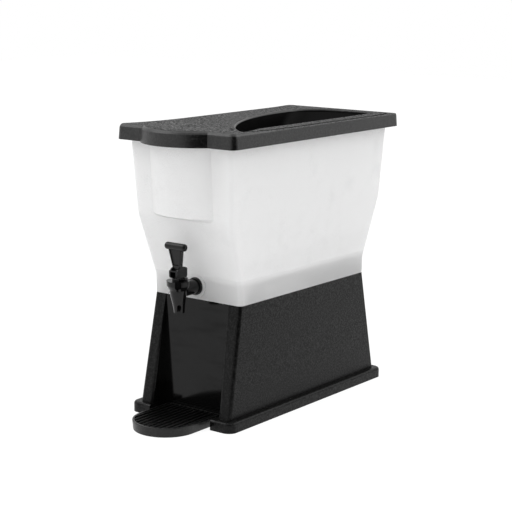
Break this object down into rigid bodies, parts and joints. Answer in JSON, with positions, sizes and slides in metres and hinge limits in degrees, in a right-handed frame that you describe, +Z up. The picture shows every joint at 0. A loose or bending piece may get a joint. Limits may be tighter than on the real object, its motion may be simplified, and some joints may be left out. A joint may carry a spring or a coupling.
{
  "type": "beverage dispenser",
  "caption": "Frosted drink tank with a bowed front column on a black pedestal, with a lift-off lid, a lever tap and a ribbed drip tray.",
  "frame": {"origin": "on the counter, under the middle of the whole object's bounding box", "axes": "+Z up, the tap faces -Y, +X is to the right of someone who looks along +Y"},
  "size_m": [0.2186, 0.4955, 0.4368],
  "materials": {
    "black_moulding": "fine satin texture",
    "frosted_acrylic": "frosted, translucent white",
    "black_gloss": "polished",
    "seal_rubber": "matt",
    "steel": "drawn wire"
  },
  "bodies": {
    "base": {"base_stand": "black_moulding"},
    "tray": {"drip_tray": "black_moulding"},
    "tank": {"tank": "frosted_acrylic", "faucet_body": "black_gloss", "faucet_bonnet": "black_gloss", "shank_washer_front": "seal_rubber", "shank_washer_rear": "seal_rubber", "shank_nut": "black_gloss"},
    "lid": {"lid": "black_moulding"},
    "stem": {"valve_stem": "black_gloss", "seat_cup": "seal_rubber", "valve_spring": "steel"},
    "handle": {"faucet_handle": "black_gloss", "handle_pin": "steel"}
  },
  "joints": [
    {"name": "tray_slide", "type": "slide", "parent": "base", "child": "tray", "axis": [0, -1, 0], "range_m": [0, 0.1]},
    {"name": "tank_lift", "type": "slide", "parent": "base", "child": "tank", "axis": [0, 0, 1], "range_m": [0, 0.1]},
    {"name": "lid_lift", "type": "slide", "parent": "tank", "child": "lid", "axis": [0, 0, 1], "range_m": [0, 0.1]},
    {"name": "stem_lift", "type": "slide", "parent": "tank", "child": "stem", "axis": [0, 0, 1], "range_m": [0, 0.0055], "deforming": ["valve_spring"]},
    {"name": "handle_tilt", "type": "hinge", "parent": "stem", "child": "handle", "pos_m": [0, -0.16683, 0.2245], "axis": [1, 0, 0], "range_deg": [0, 25], "stiffness_Nm_per_rad": 0.8, "springref_deg": -5.73}
  ],
  "couplings": [
    {"joint": "stem_lift", "follows": "handle_tilt", "m_per_rad": 0.0119}
  ]
}
